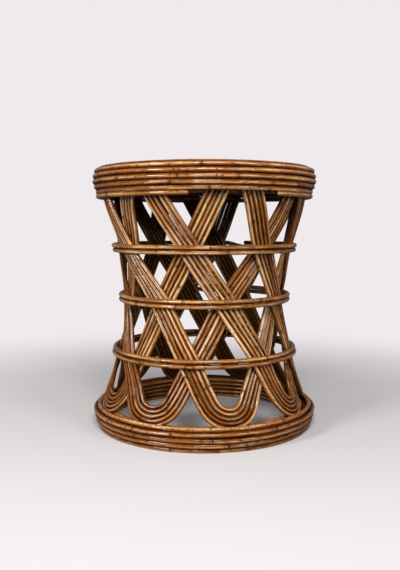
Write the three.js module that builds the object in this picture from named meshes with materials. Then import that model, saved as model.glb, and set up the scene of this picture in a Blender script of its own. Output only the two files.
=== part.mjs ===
// A round cane stool of the kind called a mudda: two wound cane rims, a lattice of long bent
// canes between them, three cane hoops round its waist and a woven seat on battens.
// Lengths are in millimetres and angles in degrees. +Z is up, the origin lies on the floor
// under the middle of the stool, and the front faces -Y.

import * as THREE from "three";

// Canes, and the gaps between them
const latticeCane = 7.0; // diameter of the lattice canes and of the inner rim windings
const hoopCane = 7.6; // diameter of the waist hoops
const rimCane = 8.3; // diameter of the outer rim windings
const railCane = 9.0; // diameter of the hidden rail that the lattice loops stand on
const seatingGap = 0.3; // between a piece and what it lies against
const bandGap = 0.3; // between neighbouring canes of one band
const layerGap = 1.2; // between the two layers of the lattice where they cross evenly
const windingGap = 0.55; // between the turns of one winding
const loopFootGap = 0.8; // between the foot of a loop and the bottom rim's inner winding

// Lattice bands: each is a set of canes that come down as a leaning arm, turn round a loop
// at the foot and go up again as the other arm
const bandCount = 8;
const canesPerBand = 5;
const firstBandAngle = 14; // where the loop nearest the front stands
const innermostLoopRadius = 22; // of the middle line of the tightest cane
const loopCentreHeight = 81;
const loopOpeningAngle = 17; // from upright, at which both arms leave the loop
const lowerCrossingHeight = 120; // where neighbouring bands first cross
const layerSwapAngle = 60; // a cane changes layer within this angle of the bottom of its loop

// How far each band of this hand-made stool strays to the right of its even place: its loop,
// and then each arm at the lower, middle and upper hoop and under the top rim
const bandStrays = [
  { loop: 0, left: [1.2, 0, -3.5, 1], right: [0.9, 2, 3.5, 1] },
  { loop: -0.5, left: [2.5, 0.2, 0, -0.4], right: [-1, -2, -1, 0] },
  { loop: 0, left: [-2, 0.5, 2.2, 6.5], right: [0, 0, -1, 0] },
  { loop: 0, left: [0, -1, -2, 5], right: [0, 1, 2, 0] },
  { loop: 0, left: [0, 0, 2.5, 2.5], right: [0, 1, 0, 0] },
  { loop: 0, left: [0, 1, 1.5, 8.6], right: [0, 2, -2.5, -11.5] },
  { loop: 7, left: [1, 0, 2.6, 9.4], right: [3.5, 1, -1, -2.6] },
  { loop: 1.1, left: [-1.5, 2, 0, 0], right: [0.3, 1.2, 3.5, 2.2] },
];

// Wall of the lattice, halfway between its two layers: heights, and its radius at each
const footHeight = 35;
const footRadius = 177;
const loopCentreWallRadius = 158;
const lowerHoopHeight = 131.2;
const lowerWaistRadius = 145.6;
const middleHoopHeight = 223.4;
const middleWaistRadius = 134.2;
const upperHoopHeight = 309;
const upperWaistRadius = 144.8;
const rimUndersideHeight = 400;
const rimUndersideRadius = 170.4;
const caneEndLength = 29.5; // of the canes' upright ends inside the top rim
const caneTopRadius = 175;

// Rims: each row of a winding leans outwards over the one below it by these angles from
// straight up, and the cap's first row leans over the outer winding's last one
const topOuterRise = 3.3; // of the first row over the rim's underside
const topOuterLeanAngles = [20, 15, -3, -17];
const topCapSeatAngle = -58;
const topCapLeanAngles = [-87, -91];
const topInnerDrop = 0.7; // of the first row under the rim's underside
const topInnerRows = 4;
const bottomOuterLeanAngles = [22, 15, 10, -43];
const bottomInnerRows = 5;
const flatCutShare = 0.1; // of a cane's diameter, dressed flat where the stool stands on it

// Seat
const battenCount = 4;
const battenSpacing = 70;
const battenWidth = 18;
const battenThickness = 7;
const seatThickness = 5;

// Facets
const stepsPerTurn = 24;
const caneSides = 6;
const loopSteps = 6;
const armSteps = 2; // of the arms, from the lower waist hoop to the middle one and on to the upper
const seatSides = 48;
const climbSteps = 3; // of the rims' rows, from one row to the next
const hoopClimbSteps = 1;
const underCaneGapSteps = 3; // the cane under the top rim is open by this much at the front
const underCaneEndAngle = -7.5;

// Where each winding starts, at the back of the stool, which is also where its climb ends. The
// top rim's turns have their corners half a step round, in line with the cane under them.
const bottomOuterStartAngle = 180;
const bottomInnerStartAngle = 150;
const topOuterStartAngle = 187.5;
const topCapStartAngle = 217.5;
const topInnerStartAngle = 157.5;
const hoopStartAngles = { lower: 180, middle: 195, upper: 165 };

const radians = THREE.MathUtils.degToRad;
const degrees = THREE.MathUtils.radToDeg;
const bandPitch = 360 / bandCount;
const canePitch = latticeCane + bandGap;
const layerOffset = (latticeCane + layerGap) / 2;
const hoopPitch = hoopCane + windingGap;
const rimPitch = rimCane + windingGap;
const innerRimPitch = latticeCane + windingGap;
const halfStepCosine = Math.cos(Math.PI / stepsPerTurn); // a chord's middle lies in by this factor
const flatsCosine = Math.cos(Math.PI / caneSides); // a faceted cane's width over its flats
const caneTopHeight = rimUndersideHeight + caneEndLength;

// The point at an angle round the stool from the front, positive to the right
function place(angle, radius, height) {
  const turn = radians(angle);
  return new THREE.Vector3(radius * Math.sin(turn), -radius * Math.cos(turn), height);
}

const wallPoints = [
  [footHeight, footRadius],
  [loopCentreHeight, loopCentreWallRadius],
  [lowerHoopHeight, lowerWaistRadius],
  [middleHoopHeight, middleWaistRadius],
  [upperHoopHeight, upperWaistRadius],
  [rimUndersideHeight, rimUndersideRadius],
];

// Slope of the wall's curve at each of its points: the two spans beside it, weighted, and at
// an end the span's own slope with the bend carried on
const wallSlopes = wallPoints.map((_, i) => {
  const spanSlope = (j) =>
    (wallPoints[j + 1][1] - wallPoints[j][1]) / (wallPoints[j + 1][0] - wallPoints[j][0]);
  const middleSlope = (j) => {
    const before = wallPoints[j][0] - wallPoints[j - 1][0];
    const after = wallPoints[j + 1][0] - wallPoints[j][0];
    return (spanSlope(j - 1) * after + spanSlope(j) * before) / (before + after);
  };
  const last = wallPoints.length - 1;
  if (i === 0) return (3 * spanSlope(0) - middleSlope(1)) / 2;
  if (i === last) return (3 * spanSlope(last - 1) - middleSlope(last - 1)) / 2;
  return middleSlope(i);
});

// Radius and slope of the wall at a height: a cubic in each span, straight below the foot, and
// straight inside the top rim, which holds the canes upright
function wallAt(height) {
  if (height >= rimUndersideHeight) {
    const slope = (caneTopRadius - rimUndersideRadius) / (caneTopHeight - rimUndersideHeight);
    return { radius: rimUndersideRadius + slope * (height - rimUndersideHeight), slope };
  }
  if (height <= footHeight)
    return { radius: footRadius + wallSlopes[0] * (height - footHeight), slope: wallSlopes[0] };
  const i = wallPoints.findIndex(([pointHeight]) => pointHeight > height) - 1;
  const [[h0, r0], [h1, r1]] = [wallPoints[i], wallPoints[i + 1]];
  const span = h1 - h0;
  const t = (height - h0) / span;
  const [m0, m1] = [wallSlopes[i] * span, wallSlopes[i + 1] * span];
  const cubic = 2 * (r0 - r1) + m0 + m1;
  const square = 3 * (r1 - r0) - 2 * m0 - m1;
  return {
    radius: r0 + t * (m0 + t * (square + t * cubic)),
    slope: (m0 + t * (2 * square + 3 * t * cubic)) / span,
  };
}

// Cosine of the wall's lean at a height: what a length along the wall has as its height
function leanCosine(height) {
  return 1 / Math.hypot(1, wallAt(height).slope);
}

// Radius of what lies against the wall at a height, this far out from the wall's middle
function againstWall(height, distance) {
  return wallAt(height).radius + distance / leanCosine(height);
}

// A point of the lattice at an angle and height, moved out along the wall's own normal
function latticeStation(angle, height, offset) {
  const { radius, slope } = wallAt(height);
  const outward = place(angle, 1, -slope).normalize();
  return { point: place(angle, radius, height).addScaledVector(outward, offset), outward };
}

// How far an evenly placed arm has turned from its loop at a height. It is nearly a straight
// line in space, so its turn is an arctangent of its height. It is half a band pitch at the
// lower crossing, one at the middle hoop and one and a half at the upper hoop, where arms
// cross. Below the lower crossing a cubic leads it out of the loop.
function armTurn(height) {
  const halfPitch = radians(bandPitch) / 2;
  const rise = height - middleHoopHeight;
  const crossingRise = lowerCrossingHeight - middleHoopHeight;
  const reach =
    (rise > 0 ? upperHoopHeight - middleHoopHeight : -crossingRise) / Math.tan(halfPitch);
  if (height >= lowerCrossingHeight) return bandPitch + degrees(Math.atan(rise / reach));
  const opening = radians(loopOpeningAngle);
  const start = middleLoopRadius / Math.cos(opening) / loopCentreWallRadius;
  const span = lowerCrossingHeight - loopCentreHeight;
  const t = (height - loopCentreHeight) / span;
  const startTurn =
    (Math.tan(opening) / loopCentreWallRadius / leanCosine(loopCentreHeight)) * span;
  const endTurn = (reach / Math.hypot(reach, crossingRise) ** 2) * span;
  const cubic = 2 * (start - halfPitch) + startTurn + endTurn;
  const square = 3 * (halfPitch - start) - 2 * startTurn - endTurn;
  return degrees(start + t * (startTurn + t * (square + t * cubic)));
}

// How far an arm strays at a height, from its band's list: straight from each hoop to the next
function armStray(loopStray, armStrays, height) {
  const heights = [loopCentreHeight, ...hoopHeights, rimUndersideHeight];
  const strays = [loopStray, ...armStrays];
  const next = heights.findIndex((listed) => listed >= height);
  if (next < 1) return next < 0 ? strays[strays.length - 1] : loopStray;
  const t = (height - heights[next - 1]) / (heights[next] - heights[next - 1]);
  return THREE.MathUtils.lerp(strays[next - 1], strays[next], t);
}

const middleCane = (canesPerBand - 1) / 2;
const middleLoopRadius = innermostLoopRadius + middleCane * canePitch;

const hoopHeights = [lowerHoopHeight, middleHoopHeight, upperHoopHeight];
const armHeights = [
  (loopCentreHeight + lowerHoopHeight) / 2,
  ...Array.from({ length: armSteps }, (_, i) =>
    THREE.MathUtils.lerp(lowerHoopHeight, middleHoopHeight, i / armSteps)),
  ...Array.from({ length: armSteps }, (_, i) =>
    THREE.MathUtils.lerp(middleHoopHeight, upperHoopHeight, i / armSteps)),
  upperHoopHeight,
  rimUndersideHeight,
  caneTopHeight,
];

// Angle of one cane at each of the arm heights, from the even place of its loop. The arm's
// middle line comes first, and the canes lie beside it, a pitch apart across the steeper of
// the two reaches that meet at a station.
function armAngles(towards, loopStray, armStrays, cane) {
  const middle = armHeights.map((height) =>
    towards * armTurn(height) + armStray(loopStray, armStrays, height));
  const headings = [radians(loopOpeningAngle)];
  for (let i = 1; i < armHeights.length; i++) {
    const height = (armHeights[i - 1] + armHeights[i]) / 2;
    const across = radians(middle[i] - middle[i - 1]) * wallAt(height).radius;
    const up = (armHeights[i] - armHeights[i - 1]) / leanCosine(height);
    headings.push(Math.abs(Math.atan(across / up)));
  }
  return armHeights.map((height, i) => {
    const steeper = Math.max(headings[i], headings[i + 1] ?? 0);
    const side = ((cane - middleCane) * canePitch) / Math.cos(steeper);
    return middle[i] + towards * degrees(side / wallAt(height).radius);
  });
}

// Stations of one lattice cane: its left arm from the top down, its loop, its right arm up.
// The left arm lies in the outer layer and the right arm in the inner one.
function latticeCaneStations(band, cane) {
  const { loop: loopStray, left, right } = bandStrays[band];
  const loopRadius = innermostLoopRadius + cane * canePitch;
  const loop = Array.from({ length: loopSteps + 1 }, (_, i) => {
    const angle = THREE.MathUtils.lerp(loopOpeningAngle - 90, 90 - loopOpeningAngle, i / loopSteps);
    const drop = loopRadius * Math.cos(radians(angle));
    const height = loopCentreHeight - drop * leanCosine(loopCentreHeight - drop / 2);
    const turn = degrees((loopRadius * Math.sin(radians(angle))) / wallAt(height).radius);
    const swap = THREE.MathUtils.clamp(-angle / layerSwapAngle, -1, 1);
    return { angle: loopStray + turn, height, layer: swap };
  });
  const arm = (towards, strays) =>
    armAngles(towards, loopStray, strays, cane).map((angle, i) =>
      ({ angle, height: armHeights[i], layer: -towards }));
  const bandAngle = firstBandAngle + band * bandPitch;
  return [...arm(-1, left).reverse(), ...loop, ...arm(1, right)].map(({ angle, height, layer }) =>
    latticeStation(bandAngle + angle, height, layer * layerOffset));
}

// A closed tube along its stations. Each has one corner straight outwards, and the two ends
// are capped square. No corner lies below the floor, which dresses the lowest row flat.
function caneTube(stations, diameter) {
  const positions = [];
  stations.forEach(({ point, outward }, i) => {
    const before = stations[Math.max(i - 1, 0)].point;
    const after = stations[Math.min(i + 1, stations.length - 1)].point;
    const along = after.clone().sub(before).normalize();
    const out = outward.clone().addScaledVector(along, -outward.dot(along)).normalize();
    const side = along.clone().cross(out);
    for (let corner = 0; corner < caneSides; corner++) {
      const turn = (2 * Math.PI * corner) / caneSides;
      const at = point.clone()
        .addScaledVector(out, (diameter / 2) * Math.cos(turn))
        .addScaledVector(side, (diameter / 2) * Math.sin(turn));
      positions.push(at.x, at.y, Math.max(at.z, 0));
    }
  });
  const faces = [];
  for (let ring = 0; ring < stations.length - 1; ring++)
    for (let corner = 0; corner < caneSides; corner++) {
      const next = (corner + 1) % caneSides;
      const [a, b] = [ring * caneSides + corner, ring * caneSides + next];
      faces.push(a, b, a + caneSides, b, b + caneSides, a + caneSides);
    }
  const lastRing = (stations.length - 1) * caneSides;
  for (let corner = 1; corner < caneSides - 1; corner++) {
    faces.push(0, corner + 1, corner);
    faces.push(lastRing, lastRing + corner, lastRing + corner + 1);
  }
  const geometry = new THREE.BufferGeometry();
  geometry.setAttribute("position", new THREE.Float32BufferAttribute(positions, 3));
  geometry.setIndex(faces);
  return geometry;
}

// Rows of a winding, each one pitch from the row below it in the direction of its lean. The
// first row has the height given, and the row numbered held has the radius given.
function rowsByLean(leans, pitch, height, radius, held) {
  const rows = [{ radius: 0, height }];
  for (const lean of leans) {
    const below = rows[rows.length - 1];
    rows.push({
      radius: below.radius + pitch * Math.sin(radians(lean)),
      height: below.height + pitch * Math.cos(radians(lean)),
    });
  }
  const shift = radius - rows[held].radius;
  return rows.map((row) => ({ radius: row.radius + shift, height: row.height }));
}

// Place of a turn that has climbed this share of its way from its row to the next. The lowest
// turn goes straight there. Each turn above lies a full pitch from the one below it, and its
// lean over that one changes steadily from the lean of its own row to that of the next.
function climbingPlace(rows, row, climbed) {
  const { lerp } = THREE.MathUtils;
  const step = (k) => [rows[k + 1].radius - rows[k].radius, rows[k + 1].height - rows[k].height];
  let radius = lerp(rows[0].radius, rows[1].radius, climbed);
  let height = lerp(rows[0].height, rows[1].height, climbed);
  for (let k = 0; k < row; k++) {
    const lean = lerp(Math.atan2(...step(k)), Math.atan2(...step(k + 1)), climbed);
    const pitch = lerp(Math.hypot(...step(k)), Math.hypot(...step(k + 1)), climbed);
    radius += pitch * Math.sin(lean);
    height += pitch * Math.cos(lean);
  }
  return { radius, height };
}

// Stations of a winding: one unbroken cane that lies in each row for a turn and climbs to the
// next within a few steps, at one place. It ends where it would have to climb once more.
function windingStations(rows, startAngle, steps) {
  const count = rows.length * stepsPerTurn - steps;
  return Array.from({ length: count + 1 }, (_, i) => {
    const row = Math.floor(i / stepsPerTurn);
    const climbed = Math.max((i % stepsPerTurn) - (stepsPerTurn - steps), 0) / steps;
    const { radius, height } = climbed ? climbingPlace(rows, row, climbed) : rows[row];
    const angle = startAngle + (360 * i) / stepsPerTurn;
    return { point: place(angle, radius, height), outward: place(angle, 1, 0) };
  });
}

// Least gap of a winding to itself, measured between points along turns that lie side by side
function leastGap(stations, diameter) {
  const pointsPerStep = 4;
  const points = [];
  for (let i = 0; i < stations.length - 1; i++)
    for (let j = 0; j < pointsPerStep; j++)
      points.push(stations[i].point.clone().lerp(stations[i + 1].point, j / pointsPerStep));
  const apart = (stepsPerTurn * pointsPerStep) / 2;
  let least = Infinity;
  points.forEach((point, i) => {
    for (let j = i + apart; j < points.length; j++)
      least = Math.min(least, point.distanceTo(points[j]));
  });
  return least - diameter;
}

const model = new THREE.Group();
const lattice = new THREE.Group();
const rims = new THREE.Group();
const seat = new THREE.Group();
model.add(lattice, rims, seat);

const caneFinish = { roughness: 0.35, metalness: 0 };
const latticeColours = [0xb47a3c, 0xa66a2f, 0xc08a48, 0x9a5f29, 0xb98344];
const rimColour = 0xa5662c;
const hoopColour = 0xb98545;
const innerRimColour = 0x7d4a20;
const battenColour = 0x8c5a2b;
const seatColour = 0xb8894f;

function addPiece(group, name, geometry, colour) {
  const finish = new THREE.MeshStandardMaterial({ color: colour, ...caneFinish });
  const mesh = new THREE.Mesh(geometry, finish);
  mesh.name = name;
  group.add(mesh);
  return mesh;
}

function addWinding(name, rows, startAngle, steps, diameter, colour) {
  const stations = windingStations(rows, startAngle, steps);
  addPiece(rims, name, caneTube(stations, diameter), colour);
  console.log(name, "least gap to itself", leastGap(stations, diameter).toFixed(2), "mm");
}

// Lattice canes
for (let band = 0; band < bandCount; band++)
  for (let cane = 0; cane < canesPerBand; cane++) {
    const stations = latticeCaneStations(band, cane);
    const name = `band_${band + 1}_cane_${cane + 1}`;
    const colour = latticeColours[(band + 2 * cane) % latticeColours.length];
    addPiece(lattice, name, caneTube(stations, latticeCane), colour);
  }

// Waist hoops: each is one cane wound twice round the outside of the lattice
const outerFace = layerOffset + latticeCane / 2;
Object.entries(hoopStartAngles).forEach(([name, startAngle], i) => {
  const height = hoopHeights[i];
  const rows = [-hoopPitch / 2, hoopPitch / 2].map((rise) => ({
    radius: againstWall(height + rise, outerFace + seatingGap + hoopCane / 2) / halfStepCosine,
    height: height + rise,
  }));
  addWinding(`${name}_waist_hoop`, rows, startAngle, hoopClimbSteps, hoopCane, hoopColour);
});

// Top rim: the outer winding rises against the canes and bulges, and the cap winding turns in
// over their ends
const topOuterFirstHeight = rimUndersideHeight + topOuterRise;
const topOuterRadius =
  againstWall(topOuterFirstHeight, outerFace + seatingGap + rimCane / 2) / halfStepCosine;
const topOuterRows =
  rowsByLean(topOuterLeanAngles, rimPitch, topOuterFirstHeight, topOuterRadius, 0);
addWinding("top_rim_outer_winding", topOuterRows, topOuterStartAngle, climbSteps, rimCane, rimColour);

const flatToFlat = rimCane * flatsCosine + seatingGap;
const shoulder = topOuterRows[topOuterRows.length - 1];
const [, capFirst] =
  rowsByLean([topCapSeatAngle], flatToFlat, shoulder.height, shoulder.radius, 0);
const topCapRows = rowsByLean(topCapLeanAngles, rimPitch, capFirst.height, capFirst.radius, 0);
addWinding("top_rim_cap_winding", topCapRows, topCapStartAngle, climbSteps, rimCane, rimColour);

const topInner = Array.from({ length: topInnerRows }, (_, i) => {
  const height = rimUndersideHeight - topInnerDrop + i * innerRimPitch;
  return { radius: againstWall(height, -(outerFace + seatingGap + latticeCane / 2)), height };
});
addWinding(
  "top_rim_inner_winding", topInner, topInnerStartAngle, climbSteps, latticeCane, innerRimColour);

// Cane under the top rim: a single hoop that lies below the first row and is open at the front
const underCaneHeight = topOuterFirstHeight - flatToFlat;
const underCaneSteps = stepsPerTurn - underCaneGapSteps;
const underCane = Array.from({ length: underCaneSteps + 1 }, (_, i) => {
  const angle = underCaneEndAngle - (360 * i) / stepsPerTurn;
  return { point: place(angle, topOuterRadius, underCaneHeight), outward: place(angle, 1, 0) };
});
addPiece(rims, "top_rim_under_cane", caneTube(underCane, rimCane), rimColour);

// Bottom rim: the loops' feet stand between its two windings, on a rail that they hide
const standingShare = 0.5 - flatCutShare; // of the diameter, from the floor to the lowest row
const loopFootFace = footRadius + latticeCane / 2;
const bottomOuterRows = rowsByLean(
  bottomOuterLeanAngles,
  rimPitch,
  rimCane * standingShare,
  (loopFootFace + seatingGap + rimCane / 2) / halfStepCosine,
  bottomOuterLeanAngles.length,
);
addWinding(
  "bottom_rim_outer_winding", bottomOuterRows, bottomOuterStartAngle, climbSteps, rimCane, rimColour);

const bottomInnerRadius = footRadius - latticeCane - loopFootGap;
const bottomInner = Array.from({ length: bottomInnerRows }, (_, i) => ({
  radius: bottomInnerRadius,
  height: latticeCane * standingShare + i * innerRimPitch,
}));
addWinding(
  "bottom_rim_inner_winding", bottomInner, bottomInnerStartAngle, climbSteps, latticeCane,
  innerRimColour);

const outermostLoopRadius = innermostLoopRadius + (canesPerBand - 1) * canePitch;
const loopFootHeight =
  loopCentreHeight - outermostLoopRadius * leanCosine(loopCentreHeight - outermostLoopRadius / 2);
const railRadius = bottomInnerRadius + latticeCane / 2 + seatingGap + railCane / 2;
const railHeight = loopFootHeight - latticeCane / 2 - seatingGap - railCane / 2;
const railCircle = Array.from({ length: stepsPerTurn }, (_, i) => {
  const angle = (360 * i) / stepsPerTurn;
  return { point: place(angle, railRadius, railHeight), outward: place(angle, 1, 0) };
});
addPiece(rims, "bottom_rim_rail", caneTube(railCircle, railCane), innerRimColour);

// Seat battens, laid across the top rim's inner winding
const topInnerLast = topInner[topInner.length - 1];
const battenHeight = topInnerLast.height + latticeCane / 2 + seatingGap + battenThickness / 2;
for (let i = 0; i < battenCount; i++) {
  const across = (i - (battenCount - 1) / 2) * battenSpacing;
  const cornerReach = Math.abs(across) + battenWidth / 2;
  const length = 2 * Math.sqrt(topInnerLast.radius ** 2 - cornerReach ** 2);
  const batten = addPiece(
    seat,
    `seat_batten_${i + 1}`,
    new THREE.BoxGeometry(length, battenWidth, battenThickness),
    battenColour,
  );
  batten.position.set(0, across, battenHeight);
}

// Woven seat panel, inside the last turn of the top rim's cap
const topCapLast = topCapRows[topCapRows.length - 1];
const seatRadius = topCapLast.radius * halfStepCosine - rimCane / 2 - seatingGap;
const seatPanel = addPiece(
  seat,
  "seat_panel",
  new THREE.CylinderGeometry(seatRadius, seatRadius, seatThickness, seatSides),
  seatColour,
);
seatPanel.rotation.x = Math.PI / 2;
seatPanel.position.z = battenHeight + battenThickness / 2 + seatingGap + seatThickness / 2;

export default model;
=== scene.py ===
"""Finish of a mudda stool: lacquered cane bent into a crossed lattice, wound cane rims, cane
hoops round the waist, small nails and a woven split-cane seat.

Lengths are in millimetres until a mesh is made, and angles in degrees. Angles round the stool
start at the front and grow to the right. The lattice and the windings follow the same
formulas as the solids that they stand for, with round canes instead of faceted ones."""

import math

import bpy
import numpy as np
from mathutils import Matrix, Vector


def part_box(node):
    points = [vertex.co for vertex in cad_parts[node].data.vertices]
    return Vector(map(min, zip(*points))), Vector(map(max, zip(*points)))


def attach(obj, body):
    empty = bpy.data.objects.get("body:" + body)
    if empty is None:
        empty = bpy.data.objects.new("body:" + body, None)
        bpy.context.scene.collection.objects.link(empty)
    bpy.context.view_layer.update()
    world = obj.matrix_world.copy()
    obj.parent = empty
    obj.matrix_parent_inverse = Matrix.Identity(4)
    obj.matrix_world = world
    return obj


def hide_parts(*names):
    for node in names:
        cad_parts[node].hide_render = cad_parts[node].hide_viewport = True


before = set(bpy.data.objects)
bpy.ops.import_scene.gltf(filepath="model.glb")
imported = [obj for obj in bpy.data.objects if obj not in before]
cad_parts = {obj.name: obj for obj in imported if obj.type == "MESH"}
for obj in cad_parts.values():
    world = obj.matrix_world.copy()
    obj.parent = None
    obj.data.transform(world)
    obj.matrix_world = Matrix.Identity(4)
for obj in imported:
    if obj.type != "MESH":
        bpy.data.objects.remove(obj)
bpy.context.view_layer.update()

MILLIMETRE = 0.001

# Canes and the gaps between them
lattice_cane = 7.0
hoop_cane = 7.6
rim_cane = 8.3
rail_cane = 9.0
seating_gap = 0.3
band_gap = 0.3
solid_layer_gap = 1.2
touching_layer_gap = 0.2
uneven_gap = 0.06  # on average between two canes of an arm
loose_gap = 0.32  # the same in a loosely packed arm
round_growth = 0.35  # by which a round cane of a winding fills the gap to its next turn
lattice_growth = 0.12  # the same for a lattice cane beside its neighbour
winding_gap = 0.55
hoop_turn_gap = 0.1  # between the two rounds of a hoop
loop_foot_gap = 0.8
solid_facets = 24
solid_sides = 6

# Lattice bands
band_count = 8
canes_per_band = 5
first_band_angle = 14.0
innermost_loop_radius = 22.0
loop_centre_height = 81.0
loop_opening_angle = 17.0
lower_crossing_height = 120.0
layer_swap_angle = 60.0
loop_steps = 6
arm_steps = 2

# How far each band strays to the right of its even place: its loop, and then each arm at the
# lower, middle and upper hoop and under the top rim
band_strays = [
    (0.0, (1.2, 0, -3.5, 1), (0.9, 2, 3.5, 1)),
    (-0.5, (2.5, 0.2, 0, -0.4), (-1, -2, -1, 0)),
    (0.0, (-2, 0.5, 2.2, 6.5), (0, 0, -1, 0)),
    (0.0, (0, -1, -2, 5), (0, 1, 2, 0)),
    (0.0, (0, 0, 2.5, 2.5), (0, 1, 0, 0)),
    (0.0, (0, 1, 1.5, 8.6), (0, 2, -2.5, -11.5)),
    (7.0, (1, 0, 2.6, 9.4), (3.5, 1, -1, -2.6)),
    (1.1, (-1.5, 2, 0, 0), (0.3, 1.2, 3.5, 2.2)),
]

# Arms whose canes lie loosely side by side
loose_arms = ((1, "right"), (2, "left"), (6, "left"))

# Canes, by band and place in it, whose bark is left in dashes along one side
dashed_canes = ((2, 1), (2, 2), (3, 5), (7, 5))

# Wall of the lattice, halfway between its two layers: heights, and its radius at each
wall_heights = np.array([35.0, 81.0, 131.2, 223.4, 309.0, 400.0])
wall_radii = np.array([177.0, 158.0, 145.6, 134.2, 144.8, 170.4])
cane_end_length = 29.5
cane_top_radius = 175.0
foot_radius = wall_radii[0]
hoop_heights = wall_heights[2:5]
rim_underside = wall_heights[-1]
cane_top_height = rim_underside + cane_end_length

# Rims
top_outer_rise = 3.3
top_outer_leans = [20, 15, -3, -17]
top_cap_seat_lean = -58
top_cap_leans = [-87, -91]
cap_sinking = 1.1  # of the round cap rows, which are taller than the faceted ones
top_inner_drop = 0.7
top_inner_rows = 4
bottom_outer_leans = [22, 15, 10, -43]
bottom_inner_rows = 5
flat_cut_share = 0.1
climb_angle = 45.0
hoop_climb_angle = 15.0
winding_starts = {"top_outer": 187.5, "top_cap": 217.5, "top_inner": 157.5, "bottom_outer": 180.0,
                  "bottom_inner": 150.0, "lower": 180.0, "middle": 195.0, "upper": 165.0}
splice_gap = 0.7  # between two canes butted end to end
open_shade = 0.5  # share of a flank's painted crease shade that it keeps where no cane lies beside it
under_cane_start = -7.5
under_cane_turn = 315.0

# Seat
batten_count = 4
batten_joints = np.array([0.16, 0.52, 0.87])  # as shares of its length
batten_joint_stray = 14.0
batten_swelling, batten_swelling_reach = 0.08, 2.5
batten_steps = 60
batten_sides = 20
strip_pitch = 6.6
strip_width = 6.2
strip_thickness = 1.7
strip_rise = 1.0  # above and below the middle of the weave
strip_top_power, strip_edge_power = 0.8, 0.6  # below 1, which flattens a strip's ellipse
strip_sides = 8
strip_steps = 4  # from one crossing to the next
no_ring = 60.0  # how far a strip's places lie from the next growth ring, which it lacks
binding_cane = 5.0  # diameter of the cane that covers the strips' ends
wrap_sides = 6
wrap_steps = 10  # in one turn round the edge

# Nails: their heads, the least and most from one to the next, and the angle that they run over
nail_radius = 1.25
nail_height = 0.8
nail_sides = 6
nail_stray = 22.0  # up or down the side of the cane, in degrees
rim_nail_gaps, rim_nail_reach = (26, 60), 310
foot_nail_gaps, foot_nail_tilt = (7, 14), 35
hoop_nail_gaps, hoop_nail_reach = (24, 60), 340

# Round canes: how fine they are, and as shares of the radius how uneven
cane_step = 5.0
cane_sides = 14
lattice_line_step = 2.5
winding_step = 1.5  # in degrees
end_stations = np.array([0.7, 2.0])
ring_stations = np.array([-4, -2, -0.9, 0, 0.9, 2, 4])
ringless_end = 5.0
slow_wave_reach = 60.0  # in which the slowest wave turns by one radian
ring_swelling, swelling_reach = 0.05, 2.6
ring_groove, groove_reach = 0.06, 0.7
uneven_radius = 0.015

# Seeds of the random draws
seeds = {"lattice": 100, "lower": 20, "middle": 21, "upper": 22, "top_outer": 31,
         "top_cap": 32, "top_inner": 33, "bottom_outer": 34, "bottom_inner": 35,
         "hidden_canes": 36, "weave": 50, "edge": 53, "battens": 60, "nails": 70}

band_pitch = 360.0 / band_count
cane_pitch = lattice_cane + band_gap
rim_pitch = rim_cane + winding_gap
inner_rim_pitch = lattice_cane + winding_gap
hoop_pitch = hoop_cane + hoop_turn_gap
solid_layer_offset = (lattice_cane + solid_layer_gap) / 2
layer_offset = (lattice_cane + touching_layer_gap) / 2
middle_cane = (canes_per_band - 1) / 2
middle_loop_radius = innermost_loop_radius + middle_cane * cane_pitch
outer_face = solid_layer_offset + lattice_cane / 2
flats_cosine = math.cos(math.pi / solid_sides)
chord_cosine = math.cos(math.pi / solid_facets)


# Steps that several shapes share


def unit(vectors):
    """Each vector over its own length."""
    return vectors / np.linalg.norm(vectors, axis=1, keepdims=True)


def smooth(share):
    """Smooth step from 0 to 1: three times the square less twice the cube."""
    return share * share * (3 - 2 * share)


def directions(line, closed=False):
    """Direction of a line at each point: from the point before it to the one after it."""
    around = np.pad(line, ((1, 1), (0, 0)), "wrap" if closed else "edge")
    return unit(around[2:] - around[:-2])


def side_by_side(*parts):
    """Vectors of these parts, each part spread to the shape of them all."""
    return np.stack(np.broadcast_arrays(*parts), -1)


def even_turns(count):
    """Angles evenly spaced round a circle, in radians."""
    return np.linspace(0, 2 * np.pi, count, endpoint=False)


def circle_round(first, second, turn):
    """Points of a circle or ellipse at each turn: the first direction times the cosine and the
    second times the sine."""
    return first[:, None] * np.cos(turn)[:, None] + second[:, None] * np.sin(turn)[:, None]


def cubic_between(t, start, end, first_rate, last_rate):
    """Value and rate at t of the cubic with these values and rates at 0 and at 1."""
    cubic = 2 * (start - end) + first_rate + last_rate
    square = 3 * (end - start) - 2 * first_rate - last_rate
    value = start + t * (first_rate + t * (square + t * cubic))
    return value, first_rate + t * (2 * square + 3 * t * cubic)


# Shape of the wall and the lattice


# Slope at each point of the wall: the two spans beside it, weighted by each other's length, and
# at an end the span's own slope with the bend carried on
wall_slopes = np.gradient(wall_radii, wall_heights)
wall_slopes[[0, -1]] = (3 * wall_slopes[[0, -1]] - wall_slopes[[1, -2]]) / 2


def wall_at(height):
    """Radius and slope of the wall: a cubic in each span from the radius and slope at its two
    ends, straight below the foot, and straight inside the top rim."""
    height = np.asarray(height, float)
    i = np.clip(np.searchsorted(wall_heights, height, side="right") - 1, 0, len(wall_heights) - 2)
    span = wall_heights[i + 1] - wall_heights[i]
    radius, rate = cubic_between(
        (height - wall_heights[i]) / span, wall_radii[i], wall_radii[i + 1],
        wall_slopes[i] * span, wall_slopes[i + 1] * span)
    end_slope = (cane_top_radius - wall_radii[-1]) / cane_end_length
    in_rim = height >= rim_underside
    radius = np.where(in_rim, wall_radii[-1] + end_slope * (height - rim_underside), radius)
    slope = np.where(in_rim, end_slope, rate / span)
    below = height <= wall_heights[0]
    straight = foot_radius + wall_slopes[0] * (height - wall_heights[0])
    return np.where(below, straight, radius), np.where(below, wall_slopes[0], slope)


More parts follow.
